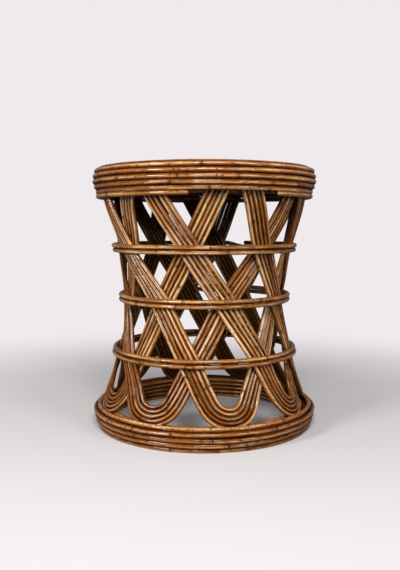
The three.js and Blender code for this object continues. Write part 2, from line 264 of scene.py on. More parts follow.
def lean_cosine(height):
    """What a length along the wall has as its height: one over the root of one plus the
    slope squared."""
    return 1 / np.hypot(1, wall_at(height)[1])


def against_wall(height, distance):
    """Radius of what lies this far out from the wall's middle, measured square to the wall."""
    return wall_at(height)[0] + distance / lean_cosine(height)


def on_circle(angle, radius, height):
    """Points at an angle, radius and height: sine to the right, cosine to the front."""
    turn = np.radians(angle)
    return side_by_side(radius * np.sin(turn), -radius * np.cos(turn), height)


def arm_turn(height):
    """How far an evenly placed arm has turned from its loop: an arctangent of the height, which
    is half a band pitch at the lower crossing, one at the middle hoop and one and a half at
    the upper one. Below the lower crossing, a cubic that leaves the loop at its opening."""
    lower, middle, upper = lower_crossing_height, hoop_heights[1], hoop_heights[2]
    half_pitch = math.radians(band_pitch) / 2
    reach = np.where(height > middle, upper - middle, middle - lower) / math.tan(half_pitch)
    turn = np.radians(band_pitch) + np.arctan((height - middle) / reach)
    opening = math.radians(loop_opening_angle)
    centre_radius = wall_at(loop_centre_height)[0]
    start = middle_loop_radius / math.cos(opening) / centre_radius
    span = lower - loop_centre_height
    low_reach = (middle - lower) / math.tan(half_pitch)
    first_rate = math.tan(opening) / centre_radius / lean_cosine(loop_centre_height) * span
    last_rate = low_reach / (low_reach**2 + (lower - middle) ** 2) * span
    low_turn, _ = cubic_between(
        (height - loop_centre_height) / span, start, half_pitch, first_rate, last_rate)
    return np.degrees(np.where(height >= lower, turn, low_turn))


arm_heights = np.array([
    (loop_centre_height + hoop_heights[0]) / 2,
    *np.linspace(hoop_heights[0], hoop_heights[1], arm_steps + 1)[:-1],
    *np.linspace(hoop_heights[1], hoop_heights[2], arm_steps + 1),
    rim_underside,
    cane_top_height,
])


def places_beside(random, gap):
    """How far each cane of an arm lies from the arm's middle line at each height. The canes
    touch or leave an uneven gap, and none by the loop."""
    gaps = random.exponential(gap, (len(arm_heights), canes_per_band - 1))
    gaps[0] = 0
    places = np.cumsum(np.pad(lattice_cane + gaps, ((0, 0), (1, 0))), axis=1)
    return places - places.mean(axis=1, keepdims=True)


def arm_angles(towards, loop_stray, arm_strays, beside):
    """Angle of one cane of an arm at each height. Its middle line is the arm's turn and its
    stray, and the cane lies beside it, by its place over the cosine of the arm's heading."""
    stray_heights = [loop_centre_height, *hoop_heights, rim_underside]
    stray = np.interp(arm_heights, stray_heights, [loop_stray, *arm_strays])
    middle = towards * arm_turn(arm_heights) + stray
    height = (arm_heights[1:] + arm_heights[:-1]) / 2
    across = np.radians(np.diff(middle)) * wall_at(height)[0]
    up = np.diff(arm_heights) / lean_cosine(height)
    headings = np.concatenate([[math.radians(loop_opening_angle)], np.abs(np.arctan(across / up))])
    heading = (headings + np.append(headings[1:], headings[-1])) / 2
    return middle + towards * np.degrees(beside / np.cos(heading) / wall_at(arm_heights)[0])


def lattice_stations(band, cane, left_beside, right_beside):
    """Points of one lattice cane from the top of its left arm, round the loop, to the top of
    its right arm. The loop is an arc on the wall, and the cane passes from the outer layer to
    the inner one within it."""
    loop_stray, left, right = band_strays[band]
    loop_radius = innermost_loop_radius + cane * cane_pitch
    sweep = np.linspace(loop_opening_angle - 90, 90 - loop_opening_angle, loop_steps + 1)
    drop = loop_radius * np.cos(np.radians(sweep))
    loop_height = loop_centre_height - drop * lean_cosine(loop_centre_height - drop / 2)
    loop_angle = loop_stray + np.degrees(
        loop_radius * np.sin(np.radians(sweep)) / wall_at(loop_height)[0])
    loop_layer = np.clip(-sweep / layer_swap_angle, -1, 1)
    left_angles = arm_angles(-1, loop_stray, left, left_beside[:, cane])[::-1]
    right_angles = arm_angles(1, loop_stray, right, right_beside[:, cane])
    angle = np.concatenate([left_angles, loop_angle, right_angles])
    angle = angle + first_band_angle + band * band_pitch
    height = np.concatenate([arm_heights[::-1], loop_height, arm_heights])
    ones = np.ones(len(arm_heights))
    layer = np.concatenate([ones, loop_layer, -ones]) * layer_offset
    radius, slope = wall_at(height)
    outward = unit(on_circle(angle, 1, -slope))
    return on_circle(angle, radius, height) + outward * layer[:, None]


def wall_outward(points):
    """Direction square to the wall at each point, away from the stool's middle."""
    radius = np.hypot(points[:, 0], points[:, 1])[:, None]
    slope = wall_at(points[:, 2])[1][:, None]
    return unit(np.concatenate([points[:, :2] / radius, -slope], axis=1))


# Canes as round tubes


def spline(knots, places, at):
    """Natural cubic spline through the places at their knots: its second derivatives solve one
    linear system, and each span is the usual cubic of its two ends."""
    n = len(knots)
    gaps = np.diff(knots)
    system = np.eye(n)
    rows = np.arange(1, n - 1)
    system[rows, rows - 1] = gaps[:-1]
    system[rows, rows] = 2 * (gaps[:-1] + gaps[1:])
    system[rows, rows + 1] = gaps[1:]
    rates = np.diff(places, axis=0) / gaps[:, None]
    right = np.zeros_like(places)
    right[1:-1] = 6 * np.diff(rates, axis=0)
    bends = np.linalg.solve(system, right)
    i = np.clip(np.searchsorted(knots, at, side="right") - 1, 0, n - 2)
    h = gaps[i][:, None]
    a = (knots[i + 1][:, None] - at[:, None]) / h
    b = 1 - a
    curve = ((a**3 - a) * bends[i] + (b**3 - b) * bends[i + 1]) * h**2 / 6
    return a * places[i] + b * places[i + 1] + curve


def length_along(points):
    """Distance of each point from the first, along the line through them."""
    return np.concatenate([[0], np.cumsum(np.linalg.norm(np.diff(points, axis=0), axis=1))])


def resampled(values, length, at):
    """Each column of the values, read off along the line at other lengths."""
    return np.stack([np.interp(at, length, values[:, k]) for k in range(values.shape[1])], 1)


def growth_rings(length, random, least=70.0, most=190.0):
    """Places of the growth rings, an uneven spacing apart, from before a cane's start to past
    its end."""
    count = int(length / least) + 3
    return np.cumsum(random.uniform(least, most, count)) - random.uniform(0, most) - least


class Strands:
    """Arrays of one or more canes or strips that make up a piece."""

    def __init__(self):
        """Starts with no points."""
        self.points, self.faces, self.grain, self.marks = [], [], [], []
        self.count = 0

    def add_grid(self, points, turn, at, off_ring, tint, batch, closed=False, shade=1):
        """Adds a grid of points, stations by sides, as a tube with its ends capped. Its grain is
        how far each side faces out and sideways, and its place along. Its marks are how far a
        place lies from a growth ring, and the piece's own tint and batch of noise."""
        stations, sides = points.shape[:2]
        grain = side_by_side(np.cos(turn), np.sin(turn) * shade, at[:, None])
        marks = side_by_side(off_ring, tint, batch)
        for kept, values in ((self.points, points), (self.grain, grain), (self.marks, marks)):
            kept.append(np.broadcast_to(values, points.shape).reshape(-1, 3))
        self.faces += grid_faces(stations, sides, self.count, closed)
        if not closed:
            first, last = self.count, self.count + (stations - 1) * sides
            self.faces.append(list(range(first, first + sides))[::-1])
            self.faces.append(list(range(last, last + sides)))
        self.count += stations * sides
        return self

    def add_cane(self, line, outward, diameter, tint, random, sides=cane_sides, closed=False,
                 wander=(0.2, 0.2), floor=None, dashed=False, shades=(1, 1)):
        """Adds a round tube along a line. Its radius swells at each growth ring, with a thin
        groove in the swelling, and its middle wanders out and sideways by slow random waves.
        The shades are how much of the painted crease shade each of its two flanks takes, at each
        point of the line."""
        length = length_along(line)
        total = length[-1]
        rings = growth_rings(total, random)
        inside = rings[(rings > ringless_end) & (rings < total - ringless_end)]
        near_rings = (inside[:, None] + ring_stations).ravel()
        even = np.linspace(0, total, max(int(total / cane_step), 2) + 1)
        if closed:
            even = even[:-1]
        near_ends = [] if closed else np.append(end_stations, total - end_stations)
        at = np.unique(np.round(np.concatenate([even, near_rings, near_ends]), 2))
        centre, out = resampled(line, length, at), resampled(outward, length, at)
        along = directions(centre, closed)
        out = unit(out - along * np.sum(out * along, 1, keepdims=True))
        side = np.cross(along, out)
        wave = slow_wave(at, random, closed_length=total if closed else None)
        centre = centre + out * wave[0][:, None] * wander[0] + side * wave[1][:, None] * wander[1]
        off_ring = np.min(np.abs(at[:, None] - rings), axis=1)
        swelling = (ring_swelling * np.exp(-(off_ring / swelling_reach) ** 2)
                    - ring_groove * np.exp(-(off_ring / groove_reach) ** 2))
        radius = diameter / 2 * (1 + swelling + uneven_radius * wave[2])
        turn = even_turns(sides)
        points = centre[:, None] + circle_round(out, side, turn) * radius[:, None, None]
        if floor is not None:
            points[..., 2] = np.maximum(points[..., 2], floor)
        if not closed:
            off_ring = np.minimum(off_ring, np.minimum(at, total - at))
        shades = resampled(np.broadcast_to(shades, (len(line), 2)), length, at)
        shade = np.where(np.sin(turn) < 0, shades[:, :1], shades[:, 1:])
        return self.add_grid(points, turn, at, off_ring[:, None], tint,
                             random.uniform(0, 0.9) + dashed, closed, shade)

    def piece(self, name, material, slot, *nodes):
        """Makes the mesh, whose points carry their grain and marks for the finish to read, and
        lets it ride and stand for its solids."""
        mesh = new_mesh(name, np.concatenate(self.points), self.faces)
        for carried, values in (("grain", self.grain), ("marks", self.marks)):
            attribute = mesh.attributes.new(carried, "FLOAT_VECTOR", "POINT")
            attribute.data.foreach_set("vector", np.concatenate(values).astype(np.float32).ravel())
        dress(mesh, name, material, slot, *nodes)


def slow_wave(at, random, closed_length=None):
    """Three smooth random waves along a cane, each the sum of three sines."""
    base = closed_length / (2 * np.pi) if closed_length else slow_wave_reach
    waves = np.zeros((3, len(at)))
    for k in range(3):
        for order in (1, 2, 3):
            rate = (2 * order + k) if closed_length else order * random.uniform(0.7, 1.3)
            waves[k] += np.sin(at / base * rate + random.uniform(0, 2 * np.pi)) / (order + 1)
    return waves


def grid_faces(stations, sides, first, closed):
    """Four-sided faces of a tube: each joins two neighbouring points of a ring to the next
    ring, and a closed tube joins its last ring to its first."""
    ring = np.arange(stations if closed else stations - 1)[:, None] * sides
    next_ring = (ring + sides) % (stations * sides)
    corner = np.arange(sides)[None]
    next_corner = (corner + 1) % sides
    faces = side_by_side(ring + corner, ring + next_corner, next_ring + next_corner,
                         next_ring + corner)
    return (faces.reshape(-1, 4) + first).tolist()


def new_mesh(name, points, faces):
    """A smooth mesh from points in millimetres and faces."""
    mesh = bpy.data.meshes.new(name)
    mesh.from_pydata((points * MILLIMETRE).tolist(), [], faces)
    mesh.shade_smooth()
    return mesh


def put_in_scene(name, data):
    """A new object of this name in the scene."""
    made = bpy.data.objects.new(name, data)
    bpy.context.scene.collection.objects.link(made)
    return made


def dress(mesh, name, material, slot, *nodes):
    """Puts a mesh in the scene with its material, as a piece that rides on the stool."""
    piece = put_in_scene(name, mesh)
    mesh.materials.append(material)
    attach(piece, "root")
    if nodes:
        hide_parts(*nodes)


# Windings


def rows_by_lean(leans, pitch, height, radius, held=0):
    """Rows of a winding, each one pitch from the row below it in the direction of its lean.
    The first has the height given and the row numbered held has the radius given."""
    lean = np.radians(leans)
    rise = np.cumsum(np.append(0, pitch * np.cos(lean)))
    out = np.cumsum(np.append(0, pitch * np.sin(lean)))
    return side_by_side(radius + out - out[held], height + rise)


def winding_line(rows, start, climb):
    """Line and outward direction of one cane wound through its rows. It lies in each row for a
    turn and climbs to the next in the last part of it. The lowest turn goes straight there,
    and each turn above keeps its pitch and turns its lean evenly over the one below it."""
    total = 360.0 * len(rows) - climb
    turned = np.arange(0, total + 0.01, winding_step)
    row = np.minimum((turned // 360).astype(int), len(rows) - 1)
    climbed = smooth(np.clip((turned - 360 * row - (360 - climb)) / climb, 0, 1))
    steps = np.diff(rows, axis=0)
    lean = np.arctan2(steps[:, 0], steps[:, 1])
    pitch = np.hypot(steps[:, 0], steps[:, 1])
    place = rows[0] + climbed[:, None] * steps[0]
    for k in range(len(rows) - 2):
        leaning = lean[k] + (lean[k + 1] - lean[k]) * climbed
        reach = pitch[k] + (pitch[k + 1] - pitch[k]) * climbed
        above = side_by_side(np.sin(leaning) * reach, np.cos(leaning) * reach)
        place += np.where((row > k)[:, None], above, 0)
    place[row == len(rows) - 1] = rows[-1]
    facing = unit(np.gradient(rows, axis=0))[:, ::-1] * [1, -1]
    above = np.minimum(row + 1, len(rows) - 1)
    facing = facing[row] + climbed[:, None] * (facing[above] - facing[row])
    angle = start + turned
    return on_circle(angle, *place.T), on_circle(angle, *facing.T), turned


def wound_cane(winding, piece, node, rows, climb, diameter, lacquer, slot, splices, tints,
               floor=None, open_rows=(True, True), sway=0.42):
    """A winding made of several canes, butted end to end at the splices, which are given in
    turns from the start. The first row's lower flank and the last row's upper one take less
    painted crease shade where they lie open. The rows sway, which leaves uneven joints between
    them."""
    random = np.random.RandomState(seeds[winding])
    line, outward, turned = winding_line(rows, winding_starts[winding], climb)
    length = length_along(line)
    ends = np.interp([0, *[360 * splice for splice in splices], turned[-1]], turned, length)
    above = np.where((turned > 360 * (len(rows) - 1)) & open_rows[1], open_shade, 1)
    below = np.where((turned < 360 - climb) & open_rows[0], open_shade, 1)
    shades = side_by_side(above, below)
    strands = Strands()
    for i, (first, last) in enumerate(zip(ends[:-1], ends[1:])):
        first += splice_gap / 2 if i else 0
        last -= splice_gap / 2 if i < len(splices) else 0
        between = length[(length > first + 1) & (length < last - 1)]
        at = np.concatenate([[first], between, [last]])
        strands.add_cane(resampled(line, length, at), resampled(outward, length, at), diameter,
                         tints[i % len(tints)], random, wander=(0.12, sway), floor=floor,
                         shades=resampled(shades, length, at))
    strands.piece(f"{piece}_round", lacquer, slot, node)


def solid_corners(node):
    """Lowest and highest corner of a solid's box."""
    return [np.array(corner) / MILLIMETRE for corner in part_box(node)]


def hoop_rows(height):
    """Radius and height of the two rounds of a hoop, which lies against the lattice."""
    heights = height + np.array([-hoop_pitch, hoop_pitch]) / 2
    return side_by_side(against_wall(heights, outer_face + seating_gap + hoop_cane / 2), heights)


top_outer_height = rim_underside + top_outer_rise
top_outer_radius = against_wall(top_outer_height, outer_face + seating_gap + rim_cane / 2)
top_outer_rows = rows_by_lean(top_outer_leans, rim_pitch, top_outer_height, top_outer_radius)
flat_to_flat = rim_cane * flats_cosine + seating_gap
cap_start = rows_by_lean([top_cap_seat_lean], flat_to_flat, top_outer_rows[-1][1],
                         top_outer_rows[-1][0])[-1]
top_cap_rows = rows_by_lean(top_cap_leans, rim_pitch, cap_start[1] - cap_sinking, cap_start[0])
top_inner_heights = rim_underside - top_inner_drop + inner_rim_pitch * np.arange(top_inner_rows)
top_inner_radii = against_wall(top_inner_heights, -(outer_face + seating_gap + lattice_cane / 2))
top_inner_rows_at = side_by_side(top_inner_radii, top_inner_heights)

standing_share = 0.5 - flat_cut_share
bottom_outer_radius = foot_radius + lattice_cane / 2 + seating_gap + rim_cane / 2
bottom_outer_rows = rows_by_lean(bottom_outer_leans, rim_pitch, rim_cane * standing_share,
                                 bottom_outer_radius, len(bottom_outer_leans))
bottom_inner_rows_at = side_by_side(
    foot_radius - lattice_cane - loop_foot_gap,
    lattice_cane * standing_share + inner_rim_pitch * np.arange(bottom_inner_rows))


# Materials


def linear(red, green, blue):
    """A colour as seen on a screen, 0 to 255, as the light it stands for."""
    seen = np.array([red, green, blue]) / 255
    light = np.where(seen <= 0.04045, seen / 12.92, ((seen + 0.055) / 1.055) ** 2.4)
    return (*light.tolist(), 1.0)


class Nodes:
    """The nodes of a material or of the world, joined up step by step."""

    def __init__(self, owner):
        """Takes the node tree that a new material or world starts with."""
        owner.use_nodes = True
        self.owner = owner
        self.tree = owner.node_tree
        self.surface = self.tree.nodes.get("Principled BSDF")

    def feed(self, node, inputs):
        """Gives inputs of a node their numbers and colours, or the outputs that they read."""
        for key, value in inputs.items():
            if isinstance(value, bpy.types.NodeSocket):
                self.tree.links.new(value, node.inputs[key])
            else:
                node.inputs[key].default_value = value

    def node(self, kind, inputs, **settings):
        """A new node with its settings and inputs."""
        made = self.tree.nodes.new(kind)
        for key, value in settings.items():
            setattr(made, key, value)
        self.feed(made, inputs)
        return made

    def place(self):
        """The place on the piece itself."""
        return self.node("ShaderNodeTexCoord", {}).outputs["Object"]

    def parts(self, vector):
        """The three parts of a vector."""
        return self.node("ShaderNodeSeparateXYZ", {0: vector}).outputs

    def attribute(self, name):
        """The three parts of a vector that the piece carries."""
        read = self.node("ShaderNodeAttribute", {}, attribute_name=name)
        return self.parts(read.outputs["Vector"])

    def maths(self, operation, *values):
        """One step of arithmetic."""
        return self.node("ShaderNodeMath", dict(enumerate(values)), operation=operation).outputs[0]

    def times(self, first, second):
        """Product of two values."""
        return self.maths("MULTIPLY", first, second)

    def rise(self, value, low, high):
        """Smooth step from 0 at low to 1 at high."""
        made = self.node("ShaderNodeMapRange", {"Value": value, "From Min": low, "From Max": high},
                         interpolation_type="SMOOTHSTEP")
        return made.outputs["Result"]

    def fall(self, value, low, high):
        """Smooth step from 1 at low to 0 at high."""
        return self.maths("SUBTRACT", 1.0, self.rise(value, low, high))

    def noise(self, vector, scale=1.0, detail=2.0, roughness=0.5):
        """Cloudy noise from 0 to 1, with a mean of a half."""
        made = self.node("ShaderNodeTexNoise", {"Vector": vector, "Scale": scale, "Detail": detail,
                                                "Roughness": roughness})
        return made.outputs["Fac"]

    def blend(self, share, first, second, kind="MIX"):
        """The first colour, with this share of the second laid over it."""
        return self.node("ShaderNodeMix", {"Factor": share, 6: first, 7: second},
                         data_type="RGBA", blend_type=kind).outputs[2]

    def ramp(self, value, *stops):
        """A colour from stops of a place and a colour, in a straight line from each to the
        next. Places are squeezed to 0 to 1 between the first and the last."""
        first, last = stops[0][0], stops[-1][0]
        squeezed = self.node("ShaderNodeMapRange", {"Value": value, "From Min": first,
                                                    "From Max": last})
        made = self.node("ShaderNodeValToRGB", {"Fac": squeezed.outputs["Result"]})
        marks = made.color_ramp.elements
        for i, (place, colour) in enumerate(stops):
            mark = marks[i] if i < 2 else marks.new(1.0)
            mark.position = (place - first) / (last - first)
            mark.color = linear(*colour)
        return made.outputs["Color"]


batch_spread = 900.0  # which gives each cane a stretch of the noise of its own


def cane_finish(name, cream, golden, brown, red, inside_shade=0.6, lacquer=1.0, foot_darkening=0.0):
    """Stained and lacquered cane. The colour follows how far a place lies from the crest of the
    cane: cream or golden on the crest, brown and then red-brown down its flanks and nearly black
    in the groove to the next cane, where the lacquer is dull. That is partly stain rubbed off the
    crest and pooled in the grooves, and partly a painted highlight on the crest and painted shade
    down the flanks into the creases between canes. Slow patches and fine streaks along the cane
    and the cane's own tint shift that, and slow patches have an olive cast. Growth rings and
    flecks are darker, and so, with painted shade, is the side that faces into the stool, or down
    on the seat's strips and battens. The lacquer is worn pale in a few fine lines, and a dashed
    cane keeps its bark in pale dashes down one side, above the foot. The foot darkening darkens
    what stands low."""
    finish = Nodes(bpy.data.materials.new(name))
    times, rise, fall = finish.times, finish.rise, finish.fall
    face, flank, along = finish.attribute("grain")
    off_ring, tint, batch = finish.attribute("marks")
    place = finish.maths("ADD", along, times(batch, batch_spread))
    level = finish.parts(finish.place())["Z"]

    def grain(around, lengthwise, **fineness):
        """Noise with this many patches to a radius across the cane and to a millimetre along."""
        vector = {"X": times(face, around), "Y": times(flank, around),
                  "Z": times(place, lengthwise)}
        return finish.noise(finish.node("ShaderNodeCombineXYZ", vector).outputs[0], **fineness)

    def shifted(value, middle, reach):
        """A value's distance from its middle, stretched to a reach."""
        return times(finish.maths("SUBTRACT", value, middle), reach)

    streaks = grain(4.5, 0.035, detail=3.0, roughness=0.65)
    flecks = times(rise(grain(1.7, 0.22, roughness=0.6), 0.55, 0.65),
                   rise(grain(1.1, 0.017, detail=1.0), 0.42, 0.56))
    # Crest to groove: partly stain pooled in the grooves, partly a painted highlight on the crest
    # and painted shade in the creases between canes
    height = finish.maths("SUBTRACT", 1.0, finish.maths("ABSOLUTE", flank))
    # The last shift darkens what stands low, near the foot.
    for shift in (shifted(grain(0.5, 0.018), 0.5, 1.0), shifted(streaks, 0.5, 0.8),
                  shifted(tint, 0.5, 0.42), shifted(rise(level, 0.06, 0.15), 1.0, foot_darkening)):
        height = finish.maths("ADD", height, shift)
    colour = finish.ramp(height, (0.0, groove_stain_and_shade), (0.17, red), (0.48, brown),
                         (0.86, golden), (1.12, cream))
    olive = times(rise(grain(0.4, 0.011, detail=1.0), 0.48, 0.66), 0.55)
    colour = finish.blend(olive, colour, linear(*olive_cast), "MULTIPLY")

    ringed = rise(grain(0.7, 0.009, detail=1.0), 0.36, 0.50)
    ring_line = times(fall(off_ring, 0.7, 1.9), ringed)
    ring_zone = times(fall(off_ring, 1.0, 7.0), ringed)
    # Painted shade on the side that faces into the stool, or down on the seat, joined with the
    # real growth rings and flecks
    stain_and_shade = times(rise(times(face, -1.0), -0.15, 0.6), inside_shade)
    for share in (times(ring_line, 0.9), times(ring_zone, 0.5), times(flecks, 0.8)):
        stain_and_shade = finish.maths("MAXIMUM", stain_and_shade, share)
    colour = finish.blend(stain_and_shade, colour, linear(*stain_and_shade_brown))
    worn = times(rise(grain(6.0, 0.06), 0.62, 0.70), rise(face, 0.35, 0.8))
    colour = finish.blend(times(worn, 0.6), colour, linear(*worn_lacquer))
    bark = finish.blend(rise(grain(0.6, 0.26, detail=1.0), 0.48, 0.54), linear(*red),
                        linear(*cream))
    barked = times(times(rise(flank, 0.35, 0.75), rise(batch, 0.95, 0.99)),
                   rise(level, 0.13, 0.22))
    colour = finish.blend(times(barked, 0.55), colour, bark)

    clear = finish.maths("MULTIPLY_ADD", stain_and_shade, -0.9 * lacquer, lacquer)
    relief = finish.maths("SUBTRACT", times(streaks, 0.6),
                          times(finish.maths("MAXIMUM", ring_line, flecks), 0.8))
    bump = finish.node("ShaderNodeBump", {"Height": relief, "Strength": 0.4,
                                          "Distance": 0.4 * MILLIMETRE})
    finish.feed(finish.surface, {
        "Base Color": colour,
        "Roughness": finish.maths("MULTIPLY_ADD", streaks, 0.25, 0.3),
        "Specular IOR Level": 0.12,
        "Specular Tint": linear(*warm_gloss),
        "Coat Weight": times(rise(height, 0.1, 0.45), clear),
        "Coat Roughness": 0.08,
        "Normal": bump.outputs[0],
    })
    return finish.owner


def nail_finish():
    """Dull dark steel under lacquer, with rusty patches."""
    finish = Nodes(bpy.data.materials.new("nail_steel"))
    rust = finish.rise(finish.noise(finish.place(), scale=400.0), 0.4, 0.65)
    finish.feed(finish.surface, {
        "Base Color": finish.blend(rust, linear(36, 25, 18), linear(74, 40, 20)),
        "Metallic": 0.3,
        "Roughness": finish.maths("MULTIPLY_ADD", rust, 0.25, 0.35),
    })
    return finish.owner


olive_cast = (236, 240, 200)
worn_lacquer = (238, 208, 160)
warm_gloss = (214, 150, 84)
# Groove colour: partly pooled stain, partly painted shade in the creases between canes
groove_stain_and_shade = (74, 31, 3)
# Colour of the real rings and flecks and of the painted shade on the inward side
stain_and_shade_brown = (48.84, 20.46, 1.98)
red_brown = (106, 48, 9)
lattice_lacquer = cane_finish(
    "lattice_lacquer", (244, 206, 154), (180, 122, 64), (124, 68, 22), red_brown, foot_darkening=0.2)
rim_lacquer = cane_finish(
    "rim_lacquer", (234, 188, 132), (178, 116, 58), (130, 70, 24), red_brown)
hoop_lacquer = cane_finish(
    "hoop_lacquer", (240, 196, 138), (174, 116, 58), (128, 72, 26), red_brown)
inner_lacquer = cane_finish(
    "inner_lacquer", (206, 148, 88), (168, 106, 54), (126, 70, 28), (86, 40, 12),
    inside_shade=0.1)
seat_lacquer = cane_finish(
    "seat_lacquer", (230, 184, 120), (200, 142, 76), (160, 102, 46), (108, 58, 20),
    inside_shade=0.4, lacquer=0.35)
batten_lacquer = cane_finish(
    "batten_lacquer", (186, 130, 72), (152, 98, 48), (116, 68, 28), (80, 42, 14))
nail_steel = nail_finish()


# Pieces


def dress_lattice():
    """Every lattice cane: a spline through its stations."""
    for band in range(band_count):
        random = np.random.RandomState(seeds["lattice"] + band)
        gaps = [loose_gap if (band + 1, side) in loose_arms else uneven_gap
                for side in ("left", "right")]
        beside = [places_beside(random, gap) for gap in gaps]
        for cane in range(canes_per_band):
            stations = lattice_stations(band, cane, *beside)
            knots = length_along(stations)
            line = spline(knots, stations, np.arange(0, knots[-1], lattice_line_step))
            # The band's first and last canes take less painted crease shade on their open flanks.
            strands = Strands().add_cane(
                line, wall_outward(line), lattice_cane + lattice_growth, random.uniform(0, 1),
                random, wander=(0.25, 0.12), dashed=(band + 1, cane + 1) in dashed_canes,
                shades=np.where([cane == 0, cane == canes_per_band - 1], open_shade, 1))
            node = f"band_{band + 1}_cane_{cane + 1}"
            strands.piece(f"{node}_round", lattice_lacquer, "lattice_cane", node)


def dress_hoops():
    """Each waist hoop: one cane wound twice round the lattice."""
    splices = {"lower": [0.47], "middle": [1.42], "upper": [1.55]}
    for name, height in zip(splices, hoop_heights):
        node = f"{name}_waist_hoop"
        wound_cane(name, node, node, hoop_rows(height), hoop_climb_angle, hoop_cane, hoop_lacquer,
                   "hoop_cane", splices[name], (0.62, 0.45), sway=0.16)


def dress_rims():
    """The windings of both rims: each one's rows, cane and finish, the splices between its
    canes in turns, their tints, and how its edges lie."""
    outer = rim_cane + round_growth, rim_lacquer, "rim_cane"
    inner = lattice_cane + round_growth, inner_lacquer, "inner_rim_cane"
    for name, rows, (diameter, lacquer, slot), splices, tints, edges in (
            ("top_outer", top_outer_rows, outer, (0.9, 1.62, 2.35, 3.3, 4.1),
             (0.45, 0.6, 0.4, 0.7, 0.5, 0.62), {"open_rows": (True, False)}),
            ("top_cap", top_cap_rows, outer, (0.8, 1.7), (0.5, 0.4, 0.6),
             {"open_rows": (False, True)}),
            ("top_inner", top_inner_rows_at, inner, (1.3, 2.6), (0.5, 0.4), {}),
            ("bottom_outer", bottom_outer_rows, outer, (0.518, 1.532, 2.51, 3.4, 4.2),
             (0.5, 0.66, 0.45, 0.6, 0.4, 0.55), {"floor": 0.0}),
            ("bottom_inner", bottom_inner_rows_at, inner, (1.2, 2.4, 3.5), (0.75, 0.6, 0.7),
             {"floor": 0.0})):
        piece = name.replace("_", "_rim_")
        wound_cane(name, piece, f"{piece}_winding", rows, climb_angle, diameter, lacquer, slot,
                   splices, tints, **edges)


def dress_hidden_canes():
    """The cane under the top rim, open at the front, and the rail inside the bottom rim."""
    random = np.random.RandomState(seeds["hidden_canes"])
    angle = under_cane_start - np.arange(0, under_cane_turn + 0.1, winding_step)
    line = on_circle(angle, top_outer_radius, top_outer_height - flat_to_flat)
    # The under cane takes less painted crease shade on its open lower flank.
    Strands().add_cane(
        line, on_circle(angle, 1, 0), rim_cane, 0.6, random, shades=(open_shade, 1)).piece(
        "top_rim_under_round", rim_lacquer, "rim_cane", "top_rim_under_cane")
    low, high = solid_corners("bottom_rim_rail")
    angle = np.arange(0, 360, winding_step)
    line = on_circle(angle, (high[0] - rail_cane / 2) * chord_cosine, (low[2] + high[2]) / 2)
    Strands().add_cane(line, on_circle(angle, 1, 0), rail_cane, 0.4, random, closed=True).piece(
        "bottom_rim_rail_round", inner_lacquer, "inner_rim_cane", "bottom_rim_rail")


def weave_strips(name, radius, middle, lengthwise, *nodes):
    """Strips of one direction of the seat's weave, cut to a circle. It is a twill: each strip
    lies over two of the others and under two, one step on from its neighbour, and rises and
    falls between the crossings by a smooth step. A strip's section is a flattened ellipse."""
    strands = Strands()
    random = np.random.RandomState(seeds["weave"] + lengthwise)
    count = int(2 * radius / strip_pitch)
    turn = even_turns(strip_sides)
    cosine, sine = np.cos(turn), np.sin(turn)
    up = strip_thickness / 2 * np.sign(cosine) * np.abs(cosine) ** strip_top_power
    across = strip_width / 2 * np.sign(sine) * np.abs(sine) ** strip_edge_power
    for strip in range(count):
        place = (strip - (count - 1) / 2) * strip_pitch
        reach = math.sqrt(max(radius**2 - (abs(place) + strip_width / 2) ** 2, strip_pitch**2))
        at = np.linspace(-reach, reach, int(2 * reach / strip_pitch * strip_steps) + 1)
        crossing = at / strip_pitch + (count - 1) / 2
        before = np.floor(crossing)
        share = smooth(crossing - before)
        ends = []
        for other in (before, before + 1):
            step = other - strip if lengthwise else strip - other
            ends.append(np.where((np.mod(step, 4) < 2) == lengthwise, 1.0, -1.0))
        height = middle + strip_rise * (ends[0] + (ends[1] - ends[0]) * share)
        side = place + across[None] * random.uniform(0.95, 1.03) * (-1 if lengthwise else 1)
        plan = (at[:, None], side) if lengthwise else (side, at[:, None])
        points = side_by_side(*plan, height[:, None] + up[None])
        strands.add_grid(
            points, turn, at, no_ring, random.uniform(0.2, 0.9), random.uniform(0, 1))
    strands.piece(name, seat_lacquer, "woven_seat", *nodes)


def bound_edge(radius, height):
    """The seat's edge: a thin cane over the strips' ends, and a split cane wrapped round it as
    a spiral, one turn for each strip."""
    random = np.random.RandomState(seeds["edge"])
    angle = np.arange(0, 360, 3)
    edge = Strands().add_cane(on_circle(angle, radius, height), on_circle(angle, 1, 0),
                              binding_cane, 0.5, random, closed=True, wander=(0.1, 0.1))
    wraps = int(2 * math.pi * radius / strip_pitch)
    angle = np.arange(0, 360, 360 / wraps / wrap_steps)
    lean = np.radians(angle * wraps)
    reach = binding_cane / 2 + strip_thickness / 4
    line = on_circle(angle, radius + reach * np.cos(lean), height + reach * np.sin(lean))
    outward = on_circle(angle, np.cos(lean), np.sin(lean))
    side = np.cross(directions(line, closed=True), outward)
    turn = even_turns(wrap_sides)
    points = line[:, None] + circle_round(
        outward * strip_thickness / 2, side * strip_width / 3, turn)
    at = 2.0 * np.arange(len(line))
    edge.add_grid(points, turn, at, no_ring, 0.7, 0.3, closed=True)
    edge.piece("seat_edge_bound", seat_lacquer, "woven_seat")


